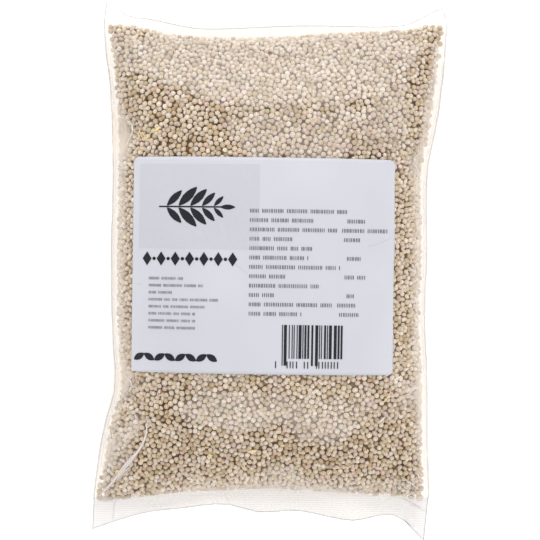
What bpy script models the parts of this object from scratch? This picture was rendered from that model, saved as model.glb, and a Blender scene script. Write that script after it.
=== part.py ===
"""A clear pillow bag of white quinoa, lying on its back, with a paper label on its front.

Metres, +Z up. The bag rests on z = 0 and its box is centred on the origin in X and Y.
+Y is the top end of the bag and the label faces +Z. The bag is a tube of film welded
straight across at both ends: a plump body of grain, a thin welded flange at each end, and
a narrow pressed crease down each side where the tube was folded flat.
"""

import math

import bmesh
import bpy
from mathutils import Matrix, Vector
from mathutils.bvhtree import BVHTree

# The body: heights above the table, and how square its sections are
CROWN_HEIGHT = 0.0460  # top of the filled bag
SIDE_HEIGHT = 0.0175  # the side creases, halfway along the bag
SEAL_HEIGHT = 0.0110  # the welded lines at both ends
SECTION_POWER = 2.8  # 2 is an ellipse across the bag, and more is squarer
LENGTH_POWER = 3.0  # the same along the bag
END_ROUNDING = 0.62  # below 1 the ends are blunt
UNDERSIDE_FILL = 1.45  # over 1 the belly is pressed flat against the table
TABLE_BLEND = 0.0015  # radius-like blend where the belly leaves the table

# The film
WELD_THICKNESS = 0.0006  # both films together, drawn thick enough to be a solid
CREASE_SHARE = 0.015  # width of a side crease, as a share of the bag's width
TOP_FLANGE = 0.0075  # real width of the welded flange at the top
BOTTOM_FLANGE = 0.0105  # and at the bottom
FLANGE_CLEARANCE = 0.0008  # least height of a flange above the table
SEAL_WAVE = 0.0012  # how far the welded lines ripple up and down

# The plan outline, in (x, y). The sides run from the bottom weld to the top weld.
LEFT_SIDE = (
    (-0.0668, -0.0880), (-0.0642, -0.0703), (-0.0612, -0.0560), (-0.0580, -0.0440),
    (-0.0589, -0.0250), (-0.0593, 0.0019), (-0.0587, 0.0400), (-0.0593, 0.0627),
    (-0.0610, 0.0800), (-0.0627, 0.0955),
)
RIGHT_SIDE = (
    (0.0600, -0.0878), (0.0593, -0.0700), (0.0590, -0.0418), (0.0581, -0.0228),
    (0.0588, 0.0100), (0.0587, 0.0340), (0.0602, 0.0445), (0.0627, 0.0566),
    (0.0650, 0.0737), (0.0670, 0.0945),
)
# The welded lines and the cut edges beyond them run from left to right
TOP_WELD = (
    (-0.0627, 0.0955), (-0.0547, 0.0939), (-0.0408, 0.0904), (-0.0270, 0.0888),
    (-0.0100, 0.0883), (0.0150, 0.0896), (0.0519, 0.0914), (0.0600, 0.0936),
    (0.0670, 0.0945),
)
TOP_CUT = (
    (-0.0622, 0.1020), (-0.0599, 0.1026), (-0.0566, 0.0980), (-0.0454, 0.0959),
    (-0.0247, 0.0923), (0.0106, 0.0935), (0.0505, 0.0935), (0.0612, 0.0980),
    (0.0660, 0.0997), (0.0676, 0.0963),
)
BOTTOM_WELD = (
    (-0.0668, -0.0880), (-0.0481, -0.0864), (-0.0342, -0.0847), (-0.0175, -0.0838),
    (0.0000, -0.0832), (0.0203, -0.0844), (0.0458, -0.0859), (0.0600, -0.0878),
)
BOTTOM_CUT = (
    (-0.0674, -0.0984), (-0.0496, -0.0932), (-0.0342, -0.0912), (-0.0175, -0.0895),
    (-0.0038, -0.0925), (0.0103, -0.0919), (0.0315, -0.0953), (0.0483, -0.0940),
    (0.0585, -0.1026),
)

# Folds pinched into the sides: which side, y, how far in they reach, half their length
SIDE_FOLDS = (
    (-1, 0.0528, 0.0070, 0.0060),
    (-1, -0.0441, 0.0055, 0.0045),
    (1, 0.0407, 0.0055, 0.0045),
)
FOLD_DEPTH = 0.75  # share of the body's thickness that a fold takes away

# Slow swells of the film over the grain: height, wavelengths in x and y, phase
SWELLS = ((0.0006, 0.045, 0.061, 0.7), (0.0004, 0.029, 0.035, 2.1))

# The label, a rectangle seen from above with round corners
LABEL_WIDTH = 0.0968  # about 0.102 m of paper, over the curve of the bag
LABEL_LENGTH = 0.0797
LABEL_CENTRE = (-0.0025, 0.0016)
LABEL_TURN = math.radians(-0.8)
LABEL_CORNER = 0.0022
LABEL_THICKNESS = 0.0003
LABEL_GAP = 0.0003  # between the film and the paper

# How finely the surfaces are divided
BODY_COLUMNS = 28
BODY_ROWS = 44
FLANGE_ROWS = 3
EDGE_CROWDING = 0.45  # moves grid lines from the middle of the body to its edges
LABEL_COLUMNS = 20
LABEL_ROWS = 16
CORNER_STEPS = 4

FILM_COLOUR = (0.62, 0.50, 0.36, 1.0)
LABEL_COLOUR = (0.72, 0.72, 0.78, 1.0)


def clear_scene():
    """An empty scene to build in."""
    for obj in list(bpy.data.objects):
        bpy.data.objects.remove(obj)


def material(name, colour, roughness):
    """A plain finish in one colour."""
    made = bpy.data.materials.new(name)
    made.use_nodes = True
    shader = made.node_tree.nodes["Principled BSDF"]
    shader.inputs["Base Color"].default_value = colour
    shader.inputs["Roughness"].default_value = roughness
    shader.inputs["Metallic"].default_value = 0.0
    made.diffuse_color = colour
    return made


def smooth_through(points, key, at):
    """The point of a smooth curve through points where coordinate key equals at."""
    last = len(points) - 2
    i = max(n for n in range(last + 1) if n == 0 or points[n][key] <= at)
    ahead, behind = points[i + 1], points[i]
    width = ahead[key] - behind[key]
    other = 1 - key

    def slope(n):
        low, high = points[max(n - 1, 0)], points[min(n + 1, last + 1)]
        return (high[other] - low[other]) / (high[key] - low[key])

    t = (at - behind[key]) / width
    value = (
        (1 + 2 * t) * (1 - t) ** 2 * behind[other]
        + t * (1 - t) ** 2 * width * slope(i)
        + t * t * (3 - 2 * t) * ahead[other]
        - t * t * (1 - t) * width * slope(i + 1)
    )
    return Vector((at, value)) if key == 0 else Vector((value, at))


def across(points, share):
    """The point at that share of the way along a line that runs from left to right."""
    return smooth_through(points, 0, points[0][0] + share * (points[-1][0] - points[0][0]))


def up_side(points, share):
    """The point at that share of the way up a side of the bag."""
    return smooth_through(points, 1, points[0][1] + share * (points[-1][1] - points[0][1]))


def crowded(share):
    """A share from 0 to 1 moved towards the nearer end, which packs grid lines there."""
    s = 2 * share - 1
    return 0.5 + 0.5 * ((1 - EDGE_CROWDING) * s + EDGE_CROWDING * math.sin(math.pi / 2 * s))


def plan_point(f, g):
    """Where a share f across and g up the body falls in plan, between its four edges."""
    bottom, top = across(BOTTOM_WELD, f), across(TOP_WELD, f)
    left, right = up_side(LEFT_SIDE, g), up_side(RIGHT_SIDE, g)
    corners = (
        (1 - f) * (1 - g) * across(BOTTOM_WELD, 0)
        + f * (1 - g) * across(BOTTOM_WELD, 1)
        + (1 - f) * g * across(TOP_WELD, 0)
        + f * g * across(TOP_WELD, 1)
    )
    return (1 - g) * bottom + g * top + (1 - f) * left + f * right - corners


def weld_height(f):
    """Height of the middle of a welded line, which ripples a little across the bag."""
    return SEAL_HEIGHT + SEAL_WAVE * math.sin(3.0 * math.tau * f + 0.6)


def middle_height(f, g):
    """Height of the surface halfway between the front film and the back film."""
    end = abs(2 * g - 1) ** 4
    return SIDE_HEIGHT + (weld_height(f) - SIDE_HEIGHT) * end


def fullness(u, g):
    """How full the bag is: 0 at its welds and creases, 1 in the middle of the body."""
    section = max(0.0, 1 - abs(u) ** SECTION_POWER) ** 0.5
    length = max(0.0, 1 - abs(2 * g - 1) ** LENGTH_POWER) ** END_ROUNDING
    return section * length


def left_by_folds(x, y, half_width):
    """The share of the body's thickness that the pinched side folds leave."""
    left = 1.0
    for side, fold_y, reach, half_length in SIDE_FOLDS:
        from_edge = max(0.0, half_width - side * x)
        inward = 1 / (1 + (from_edge / (1.25 * reach)) ** 6)
        left *= 1 - FOLD_DEPTH * inward * math.exp(-(((y - fold_y) / half_length) ** 2))
    return left


def swell(x, y):
    """How far the film stands above its smooth form at a place."""
    return sum(
        height * math.sin(math.tau * x / long_x + phase) * math.sin(math.tau * y / long_y)
        for height, long_x, long_y, phase in SWELLS
    )


def above_table(z):
    """z, or 0 where it would be under the table, with a round change between the two."""
    if z >= TABLE_BLEND:
        return z
    if z <= -TABLE_BLEND:
        return 0.0
    return (z + TABLE_BLEND) ** 2 / (4 * TABLE_BLEND)


def body_point(f, g):
    """(plan position, front height, back height) at a share f across and g up the body."""
    plan = plan_point(f, g)
    u = max(-1.0, min(1.0, (2 * f - 1) / (1 - 2 * CREASE_SHARE)))
    half_width = (up_side(RIGHT_SIDE, g).x - up_side(LEFT_SIDE, g).x) / 2
    full = fullness(u, g) * left_by_folds(plan.x, plan.y, half_width)
    middle = middle_height(f, g)
    front = middle + WELD_THICKNESS / 2
    front += full * (CROWN_HEIGHT - SIDE_HEIGHT + swell(plan.x, plan.y))
    back = middle - WELD_THICKNESS / 2 - full * UNDERSIDE_FILL * middle
    return plan, front, above_table(back)


def flange_point(f, t, weld, cut, width):
    """The same at a share f across and t out along a welded flange.

    The flange keeps its real width, so where its outline is narrow it hangs down."""
    start, end = across(weld, f), across(cut, f)
    flat = min((end - start).length, width)
    drop = math.sqrt(width**2 - flat**2)
    drop = min(drop, weld_height(f) - WELD_THICKNESS / 2 - FLANGE_CLEARANCE)
    middle = weld_height(f) - drop * t**1.3
    return start.lerp(end, t), middle + WELD_THICKNESS / 2, middle - WELD_THICKNESS / 2


def column_share(column):
    """Where a grid line stands across the bag. The first and last bound the side creases."""
    if column == 0:
        return 0.0
    if column == BODY_COLUMNS + 2:
        return 1.0
    return CREASE_SHARE + (1 - 2 * CREASE_SHARE) * crowded((column - 1) / BODY_COLUMNS)


def bag_point(column, row):
    """(plan position, front height, back height) of one crossing of the grid."""
    f = column_share(column)
    if row < FLANGE_ROWS:
        return flange_point(f, 1 - row / FLANGE_ROWS, BOTTOM_WELD, BOTTOM_CUT, BOTTOM_FLANGE)
    if row > FLANGE_ROWS + BODY_ROWS:
        out = (row - FLANGE_ROWS - BODY_ROWS) / FLANGE_ROWS
        return flange_point(f, out, TOP_WELD, TOP_CUT, TOP_FLANGE)
    return body_point(f, crowded((row - FLANGE_ROWS) / BODY_ROWS))


def new_object(name, bm, finish):
    """The finished mesh as an object of that name, shaded smooth."""
    mesh = bpy.data.meshes.new(name)
    bm.to_mesh(mesh)
    bm.free()
    mesh.shade_smooth()
    mesh.set_sharp_from_angle(angle=math.radians(50))
    mesh.materials.append(finish)
    obj = bpy.data.objects.new(name, mesh)
    bpy.context.scene.collection.objects.link(obj)
    return obj


def make_bag():
    """The front film and the back film as two grids, closed by a strip round their rim."""
    columns, rows = BODY_COLUMNS + 2, 2 * FLANGE_ROWS + BODY_ROWS
    bm = bmesh.new()
    bmesh.ops.create_grid(bm, x_segments=columns, y_segments=rows, size=0.5)
    front = bm.faces[:]
    copied = bmesh.ops.duplicate(bm, geom=bm.verts[:] + bm.edges[:] + front)["geom"]
    back = [item for item in copied if isinstance(item, bmesh.types.BMFace)]
    for faces, on_front in ((front, True), (back, False)):
        for vert in {v for face in faces for v in face.verts}:
            column = round((vert.co.x + 0.5) * columns)
            row = round((vert.co.y + 0.5) * rows)
            plan, front_height, back_height = bag_point(column, row)
            vert.co = (plan.x, plan.y, front_height if on_front else back_height)
    bmesh.ops.reverse_faces(bm, faces=back)
    rim = [edge for edge in bm.edges if edge.is_boundary]
    bmesh.ops.bridge_loops(bm, edges=rim)
    bmesh.ops.recalc_face_normals(bm, faces=bm.faces[:])
    bmesh.ops.triangulate(bm, faces=bm.faces[:])
    return new_object("quinoa_bag", bm, material("bag", FILM_COLOUR, 0.35))


def round_rectangle(width, length, radius):
    """The corners of a rectangle with round corners, anticlockwise."""
    points = []
    for quarter, (sx, sy) in enumerate(((1, 1), (-1, 1), (-1, -1), (1, -1))):
        centre = Vector((sx * (width / 2 - radius), sy * (length / 2 - radius)))
        for step in range(CORNER_STEPS + 1):
            angle = math.pi / 2 * (quarter + step / CORNER_STEPS)
            points.append(centre + radius * Vector((math.cos(angle), math.sin(angle))))
    return points


def make_label(bag):
    """A sheet of paper cut to a round-cornered rectangle and laid over the crown."""
    bm = bmesh.new()
    outline = round_rectangle(LABEL_WIDTH, LABEL_LENGTH, LABEL_CORNER)
    bm.faces.new([bm.verts.new((p.x, p.y, 0.0)) for p in outline])
    for size, count, axis in ((LABEL_WIDTH, LABEL_COLUMNS, 0), (LABEL_LENGTH, LABEL_ROWS, 1)):
        normal = Vector((1 - axis, axis, 0))
        for step in range(1, count):
            place = (step / count - 0.5) * size * normal
            everything = bm.verts[:] + bm.edges[:] + bm.faces[:]
            bmesh.ops.bisect_plane(bm, geom=everything, plane_co=place, plane_no=normal)
    placed = Matrix.Translation((*LABEL_CENTRE, 0)) @ Matrix.Rotation(LABEL_TURN, 4, "Z")
    bmesh.ops.transform(bm, matrix=placed, verts=bm.verts[:])
    surface = BVHTree.FromPolygons(
        [v.co.copy() for v in bag.data.vertices], [p.vertices[:] for p in bag.data.polygons]
    )
    above = 2 * CROWN_HEIGHT
    for vert in bm.verts:
        hit, normal, _, _ = surface.ray_cast((vert.co.x, vert.co.y, above), (0, 0, -1))
        vert.co = hit + normal * LABEL_GAP
    bmesh.ops.triangulate(bm, faces=bm.faces[:])
    label = new_object("label", bm, material("label", LABEL_COLOUR, 0.6))
    paper = label.modifiers.new("paper", "SOLIDIFY")
    paper.thickness = LABEL_THICKNESS
    paper.offset = 1.0
    return label


def centre_on_origin(objects):
    """Moves the meshes so that the box of the bag is centred on the origin in plan."""
    corners = [v.co for v in objects[0].data.vertices]
    shift = Vector((0, 0, 0))
    for axis in (0, 1):
        values = [c[axis] for c in corners]
        shift[axis] = -(min(values) + max(values)) / 2
    for obj in objects:
        obj.data.transform(Matrix.Translation(shift))


def main():
    clear_scene()
    bag = make_bag()
    label = make_label(bag)
    centre_on_origin([bag, label])


main()
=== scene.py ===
# %% [markdown]
# # A clear bag of white quinoa
#
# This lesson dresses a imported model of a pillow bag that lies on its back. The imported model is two
# plain solids, the bag and its paper label. The looks come from five things that the real one is
# made of: clear film, thousands of seeds, the darkness between them, a few bits of husk, and a
# printed paper label. Everything is in metres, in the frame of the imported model: +Y is the top end
# of the bag, and the label faces +Z.

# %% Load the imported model
import math

import bmesh
import bpy
import numpy as np
from mathutils import Matrix, Vector, noise
from mathutils.bvhtree import BVHTree
from mathutils.kdtree import KDTree


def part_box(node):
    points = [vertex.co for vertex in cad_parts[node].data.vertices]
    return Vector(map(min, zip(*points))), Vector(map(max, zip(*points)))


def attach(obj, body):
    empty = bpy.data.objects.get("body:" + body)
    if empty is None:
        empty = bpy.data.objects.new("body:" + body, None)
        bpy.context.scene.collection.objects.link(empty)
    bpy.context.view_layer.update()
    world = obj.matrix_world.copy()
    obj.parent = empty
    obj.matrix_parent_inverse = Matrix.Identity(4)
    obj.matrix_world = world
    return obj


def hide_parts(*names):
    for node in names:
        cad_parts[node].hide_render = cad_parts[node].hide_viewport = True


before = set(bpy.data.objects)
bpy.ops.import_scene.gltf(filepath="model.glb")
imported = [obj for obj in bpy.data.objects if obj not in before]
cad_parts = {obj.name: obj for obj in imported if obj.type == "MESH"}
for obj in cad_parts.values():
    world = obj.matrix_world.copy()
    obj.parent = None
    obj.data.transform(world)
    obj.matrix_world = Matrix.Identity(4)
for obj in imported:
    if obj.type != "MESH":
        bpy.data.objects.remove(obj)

scene = bpy.context.scene
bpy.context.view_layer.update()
bag_low, bag_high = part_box("quinoa_bag")
label_low, label_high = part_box("label")
MM = 0.001
print("bag", [round(v / MM, 1) for v in bag_high - bag_low], "mm")

# %% [markdown]
# ## The camera
#
# The bag was photographed from straight above, and its outline fills the height of the picture.
# The seams at both ends are equally wide, so the view is a long lens from about a metre. A short
# lens close by would give the same size, but the crown of the bag would swell towards the eye.

# %% Camera
LENS = 180.0
SENSOR = 36.0
EDGE_HEIGHT = 0.011  # the welded ends, which touch the top and bottom of the picture
camera_data = bpy.data.cameras.new("camera")
camera_data.lens = LENS
camera_data.sensor_width = SENSOR
camera = bpy.data.objects.new("camera", camera_data)
camera.location = (0, 0, EDGE_HEIGHT + (bag_high.y - bag_low.y) * LENS / SENSOR)
scene.collection.objects.link(camera)
scene.camera = camera
print("camera", round(camera.location.z, 3), "m above the table")

# %% [markdown]
# ## Small helpers
#
# A material is a tree of nodes, and one function that adds a node with its settings and its links
# keeps each tree readable. Colours are written as the hex values that a colour picker gives, and
# one function turns them into the linear light that a renderer adds up.


# %% Helpers for materials
def linear(hex_colour):
    """An sRGB hex colour as linear red, green, blue and alpha."""
    parts = [int(hex_colour[i : i + 2], 16) / 255 for i in (1, 3, 5)]
    light = [p / 12.92 if p <= 0.04045 else ((p + 0.055) / 1.055) ** 2.4 for p in parts]
    return (*light, 1.0)


def add_node(tree, kind, settings=None, values=None, links=None):
    """Adds a node, sets its own settings and its sockets' values, and links its inputs.

    A link comes from a socket, or from a node, whose first output is then meant.
    """
    node = tree.nodes.new("ShaderNode" + kind)
    for name, value in (settings or {}).items():
        setattr(node, name, value)
    for name, value in (values or {}).items():
        node.inputs[name].default_value = value
    for name, source in (links or {}).items():
        if isinstance(source, bpy.types.Node):
            source = source.outputs[0]
        tree.links.new(source, node.inputs[name])
    return node


def new_material(name):
    """A node material with only an output, as (material, its tree, the output's surface)."""
    made = bpy.data.materials.new(name)
    made.use_nodes = True
    made.node_tree.nodes.clear()
    output = add_node(made.node_tree, "OutputMaterial")
    return made, made.node_tree, output.inputs["Surface"]


def two_toned(name, pattern, grain, tones, values):
    """A plain surface that goes from one tone to another with a pattern of that grain size.

    It is returned as (material, its tree, its shader), for what some finishes add to it.
    """
    made, tree, surface = new_material(name)
    where = add_node(tree, "TexCoord").outputs["Object"]
    cells = add_node(tree, pattern, None, {"Scale": 1 / grain}, {"Vector": where})
    mixed = add_node(
        tree, "Mix", {"data_type": "RGBA"},
        {6: linear(tones[0]), 7: linear(tones[1])}, {0: cells},
    )
    shader = add_node(
        tree, "BsdfPrincipled", None, {"Base Color": linear(tones[0]), **values},
        {"Base Color": mixed.outputs[2]},
    )
    tree.links.new(shader.outputs["BSDF"], surface)
    return made, tree, shader


# %% Helpers for modelling
def start_from(primitive, **settings):
    """Adds one of Blender's primitives, selected alone, to be shaped into a piece."""
    bpy.ops.object.select_all(action="DESELECT")
    primitive(**settings)
    return bpy.context.object


def only(piece):
    """Leaves one object selected and active, so that the next operator acts on it alone."""
    bpy.ops.object.select_all(action="DESELECT")
    piece.select_set(True)
    bpy.context.view_layer.objects.active = piece


def edit(piece):
    """Enters edit mode with everything in the piece selected."""
    only(piece)
    bpy.ops.object.mode_set(mode="EDIT")
    bpy.ops.mesh.select_all(action="SELECT")


def pick(piece, mode, test):
    """In edit mode, selects the vertices, edges or faces for which the test is true."""
    bpy.ops.mesh.select_mode(type=mode)
    bpy.ops.mesh.select_all(action="DESELECT")
    mesh = bmesh.from_edit_mesh(piece.data)
    for part in {"VERT": mesh.verts, "EDGE": mesh.edges, "FACE": mesh.faces}[mode]:
        if test(part):
            part.select_set(True)
    if mode == "VERT":
        mesh.select_flush(True)


def close_up():
    """Selects the whole mesh and points its faces outwards."""
    bpy.ops.mesh.select_all(action="SELECT")
    bpy.ops.mesh.normals_make_consistent(inside=False)


def done():
    """Leaves edit mode."""
    bpy.ops.object.mode_set(mode="OBJECT")


def apply_modifier(piece, kind, **settings):
    """Adds one modifier with its settings and applies it."""
    only(piece)
    added = piece.modifiers.new(kind.lower(), kind)
    for name, value in settings.items():
        setattr(added, name, value)
    bpy.ops.object.modifier_apply(modifier=added.name)


def points_of(piece):
    """The piece's vertices as an array of x, y and z."""
    flat = np.empty(3 * len(piece.data.vertices), np.float32)
    piece.data.vertices.foreach_get("co", flat)
    return flat.reshape(-1, 3).astype(float)


def normals_of(piece):
    """The normal at each vertex."""
    flat = np.empty(3 * len(piece.data.vertices), np.float32)
    piece.data.vertex_normals.foreach_get("vector", flat)
    return flat.reshape(-1, 3).astype(float)


def set_points(piece, points):
    """Moves the piece's vertices to these places."""
    piece.data.vertices.foreach_set("co", points.astype(np.float32).ravel())
    piece.data.update()


def set_values(mesh, name, values):
    """Writes one number for each vertex as an attribute that a material can read."""
    attribute = mesh.attributes.new(name, "FLOAT", "POINT")
    attribute.data.foreach_set("value", values.astype(np.float32))


def values_of(piece, name):
    """One of the piece's attributes as an array."""
    values = np.empty(len(piece.data.vertices), np.float32)
    piece.data.attributes[name].data.foreach_get("value", values)
    return values


def show(name, mesh):
    """Puts a mesh in the scene as a piece."""
    piece = bpy.data.objects.new(name, mesh)
    scene.collection.objects.link(piece)
    return piece


def tree_of(piece):
    """The piece's surface as a tree for casting rays at it."""
    mesh = piece.data
    return BVHTree.FromPolygons([v.co for v in mesh.vertices], [p.vertices for p in mesh.polygons])


def smoothstep(low, high, value):
    """0 below low, 1 above high, and a smooth rise between them."""
    t = np.clip((value - low) / (high - low), 0.0, 1.0)
    return t * t * (3 - 2 * t)


# %% [markdown]
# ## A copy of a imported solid
#
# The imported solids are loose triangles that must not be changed, so each new piece starts from a
# merged copy. Pairs of triangles are joined into four-sided faces, because subdivision rounds
# those evenly and leaves pinches on triangles.

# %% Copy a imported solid
MERGE = 1e-6
QUAD_ANGLE = math.radians(75)


def copy_of(node, name):
    """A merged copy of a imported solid, with four-sided faces, as a new piece."""
    piece = show(name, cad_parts[node].data.copy())
    piece.data.materials.clear()
    edit(piece)
    bpy.ops.mesh.customdata_custom_splitnormals_clear()
    bpy.ops.mesh.remove_doubles(threshold=MERGE)
    bpy.ops.mesh.tris_convert_to_quads(face_threshold=QUAD_ANGLE, shape_threshold=QUAD_ANGLE)
    done()
    piece.data.shade_smooth()
    return piece


film = copy_of("quinoa_bag", "film")
print("film starts with", len(film.data.polygons), "faces")

# %% [markdown]
# ## The heap inside
#
# The seeds fill the bag out to its film, but not the welded flanges past its two welded lines. Two
# forms come from the bag: a bed, on which the middles of the seeds lie, and a core under them, which
# is all that shows in the gaps between seeds. Both are the bag's own form, shrunk. Where the front
# and the back film are close together, the bed is halfway between them. The core leaves such places
# out: its thin faces are deleted, and the two open edges that stay are bridged.

# %% The heap's form
# The welded lines, as x and y in mm from left to right.
TOP_WELD = (
    (-62.7, 95.5), (-54.7, 93.9), (-40.8, 90.4), (-27.0, 88.8), (-10.0, 88.3), (15.0, 89.6),
    (51.9, 91.4), (60.0, 93.6), (67.0, 94.5),
)
BOTTOM_WELD = (
    (-66.8, -88.0), (-48.1, -86.4), (-34.2, -84.7), (-17.5, -83.8), (0.0, -83.2), (20.3, -84.4),
    (45.8, -85.9), (60.0, -87.8),
)
BED_DEPTH = (0.00050, 0.00080, 0.00095)  # at the sides, at the ends, and on top
CORE_DEPTH = (0.00130, 0.00150, 0.00165)
HALFWAY = 0.42  # the most that either form goes in, as a share of the distance between the films
CORE_GAP = 0.0050  # films nearer than this have one layer of seeds, and no core


def past_weld(points):
    """How far each point is past the nearer welded line, out on a flange. It is below 0 elsewhere."""
    x, y = points[:, 0] / MM, points[:, 1] / MM
    top = y - np.interp(x, *np.transpose(TOP_WELD))
    bottom = np.interp(x, *np.transpose(BOTTOM_WELD)) - y
    return np.maximum(top, bottom) * MM


def film_gaps(piece):
    """For each vertex, how far apart the front and the back film are there, by a ray each way."""
    surface = tree_of(piece)
    gaps = []
    for x, y, _ in points_of(piece):
        top = surface.ray_cast((x, y, 1), (0, 0, -1))[0]
        bottom = surface.ray_cast((x, y, -1), (0, 0, 1))[0]
        gaps.append(top.z - bottom.z if top and bottom else 0.0)
    return np.array(gaps)


def shrink(heap, depth, gaps):
    """Moves the surface in by depth, and by less where the films are close together."""
    share = np.clip(HALFWAY * gaps / depth[2], 0, 1)[:, None]
    set_points(heap, points_of(heap) - normals_of(heap) * depth * share)


def delete_thin(heap, least_gap):
    """Deletes the faces where the films are near each other, and bridges the two open edges."""
    thin = film_gaps(heap) < least_gap
    edit(heap)
    pick(heap, "FACE", lambda face: all(thin[v.index] for v in face.verts))
    bpy.ops.mesh.delete(type="FACE")
    bpy.ops.mesh.select_mode(type="EDGE")
    bpy.ops.mesh.select_non_manifold()
    bpy.ops.mesh.bridge_edge_loops()
    close_up()
    done()


bed = copy_of("quinoa_bag", "bed")
shrink(bed, BED_DEPTH, film_gaps(bed))
core = copy_of("quinoa_bag", "core")
delete_thin(core, CORE_GAP)
shrink(core, CORE_DEPTH, np.full(len(core.data.vertices), CORE_GAP))
for heap in (bed, core):
    size = points_of(heap).max(0) - points_of(heap).min(0)
    print(heap.name, (size / MM).round(1), "mm")

# %% [markdown]
# ## One seed
#
# A quinoa seed is a flat disc about 2.1 mm across and 1.5 mm thick. The germ runs round its rim as
# a pale band, and a faint groove divides it from the mealy middle. It is modelled once, from a
# circle at its widest: rings are extruded up and in over the rim, down into the groove and up to
# the middle, and then down to a blunt underside. There are over ten thousand of them, so it has
# nine sides and some seventy triangles. A circle of forty sides would look no rounder at this size.

# %% Model the seed
SEED_SIDES = 9
SEED_RADIUS = 0.00110
SEED_HALF_THICKNESS = 0.00090
# Each ring: its size against the one before, and its rise in half thicknesses.
SEED_RINGS = ((0.84, 0.66), (0.66, 0.14), (0.5, 0.20))
SEED_UNDERSIDE = (0.72, -0.72)


def add_ring(scale, rise):
    """Extrudes the selected ring, and scales and lifts the new one."""
    lift = (0, 0, rise * SEED_HALF_THICKNESS)
    bpy.ops.mesh.extrude_region_move(TRANSFORM_OT_translate={"value": lift})
    bpy.ops.transform.resize(value=(scale, scale, 1), center_override=(0, 0, 0))


def model_seed():
    """One seed lying flat, its middle at the origin."""
    piece = start_from(bpy.ops.mesh.primitive_circle_add, vertices=SEED_SIDES, radius=SEED_RADIUS)
    piece.name = "seed_mould"
    edit(piece)
    bpy.ops.mesh.select_mode(type="VERT")
    for ring in SEED_RINGS:
        add_ring(*ring)
    bpy.ops.mesh.merge(type="CENTER")
    pick(piece, "VERT", lambda vert: abs(vert.co.z) < MERGE)
    add_ring(*SEED_UNDERSIDE)
    bpy.ops.mesh.edge_face_add()
    close_up()
    bpy.ops.mesh.quads_convert_to_tris()
    done()
    return piece


seed = model_seed()
print("one seed has", len(seed.data.polygons), "triangles")

# %% [markdown]
# ## Where the seeds lie
#
# Seeds poured into a bag lie at random, but never two in one place. Points are drawn evenly over
# the bed, and one that falls too near another is dropped. Then each point is pushed a little away
# from its neighbours, a few times over, as a shaken bag settles. A plain grid would show rows, and
# plain chance would leave heaps and holes. The draw starts from a fixed number, so that every run
# gives the same bag. No seed is laid where the label hides it, and only one layer is laid where the
# front and the back film are close, beside the welds and in the creases down the sides.

# %% Draw the places
SEED_SPACING = 0.00157
SETTLE_REACH = 0.00210
SETTLE_ROUNDS = 12
SETTLE_PUSH = 0.30
SEEN_FLAT = np.array((1.0, 1.0, 0.62))  # heights count for less, so seeds on slopes stay in view
HIDDEN_MARGIN = 0.0030  # seeds are kept this far in under the label's edge
END_MARGIN = 0.0006  # no seed fits where a weld is nearer than this
SIDE_MARGINS = (0.0021, 0.0014)  # or the bag's edge, along the sides and at the corners
CORNERS = (0.075, 0.090)  # how far from the middle the corners begin
SLACK = 0.0002
ONE_LAYER = 0.0045  # films nearer than this hold one layer of seeds, and it is the front one
HALVINGS, EDGE_STEPS = 12, 204  # how finely the bag's edge is found, and at how many lines
chance = np.random.default_rng(20)
label_tree = tree_of(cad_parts["label"])
bag_tree = tree_of(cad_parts["quinoa_bag"])


def films_apart(x, y):
    """How far apart the films are at a place, or 0 off the bag."""
    top = bag_tree.ray_cast((x, y, 1), (0, 0, -1))[0]
    bottom = bag_tree.ray_cast((x, y, -1), (0, 0, 1))[0]
    return top.z - bottom.z if top and bottom else 0.0


def side_edge(outside, y):
    """The x of the bag's edge on one side at y, found by halving."""
    inside = 0.0
    for _ in range(HALVINGS):
        middle = (inside + outside) / 2
        if films_apart(middle, y) > 0:
            inside = middle
        else:
            outside = middle
    return inside


edge_lines = np.linspace(bag_low.y + MM, bag_high.y - MM, EDGE_STEPS)
left_edge = [side_edge(bag_low.x, y) for y in edge_lines]
right_edge = [side_edge(bag_high.x, y) for y in edge_lines]


def side_room(points):
    """Where x can be for a seed at each point's y, as the least and the most."""
    y = points[:, 1]
    margin = np.interp(np.abs(y), CORNERS, SIDE_MARGINS)
    least = np.interp(y, edge_lines, left_edge) + margin
    return least, np.interp(y, edge_lines, right_edge) - margin


def held_in(points):
    """The points moved back inside the welds and the bag's side edges."""
    held = points.copy()
    past = (past_weld(held) + END_MARGIN).clip(0, None)
    held[:, 1] -= np.sign(held[:, 1]) * past
    least, most = side_room(held)
    held[:, 0] = held[:, 0].clip(least, most)
    return held


def draw_points(piece, count):
    """That many points, evenly over the surface, which of them face up, and its area."""
    mesh = piece.data
    mesh.calc_loop_triangles()
    corners = np.array([t.vertices[:] for t in mesh.loop_triangles])
    a, b, c = (points_of(piece)[corners[:, k]] for k in range(3))
    turned = np.cross(b - a, c - a)
    areas = np.linalg.norm(turned, axis=1) / 2
    picked = chance.choice(len(areas), count, p=areas / areas.sum())
    s = np.sqrt(chance.random(count))[:, None]
    t = chance.random(count)[:, None]
    points = (1 - s) * a[picked] + s * (1 - t) * b[picked] + s * t * c[picked]
    return points, turned[picked, 2] > 0, areas.sum()


def near_tree(points):
    """A tree of the points for finding near ones."""
    tree = KDTree(len(points))
    for i, point in enumerate(points):
        tree.insert(point, i)
    tree.balance()
    return tree


def thinned(points, spacing):
    """The points that are left when none is nearer to another than spacing."""
    seen = points * SEEN_FLAT
    tree = near_tree(seen)
    kept = np.ones(len(points), bool)
    for i, point in enumerate(seen):
        if kept[i]:
            for _, j, _ in tree.find_range(point, spacing):
                if j > i:
                    kept[j] = False
    return points[kept]


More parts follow.
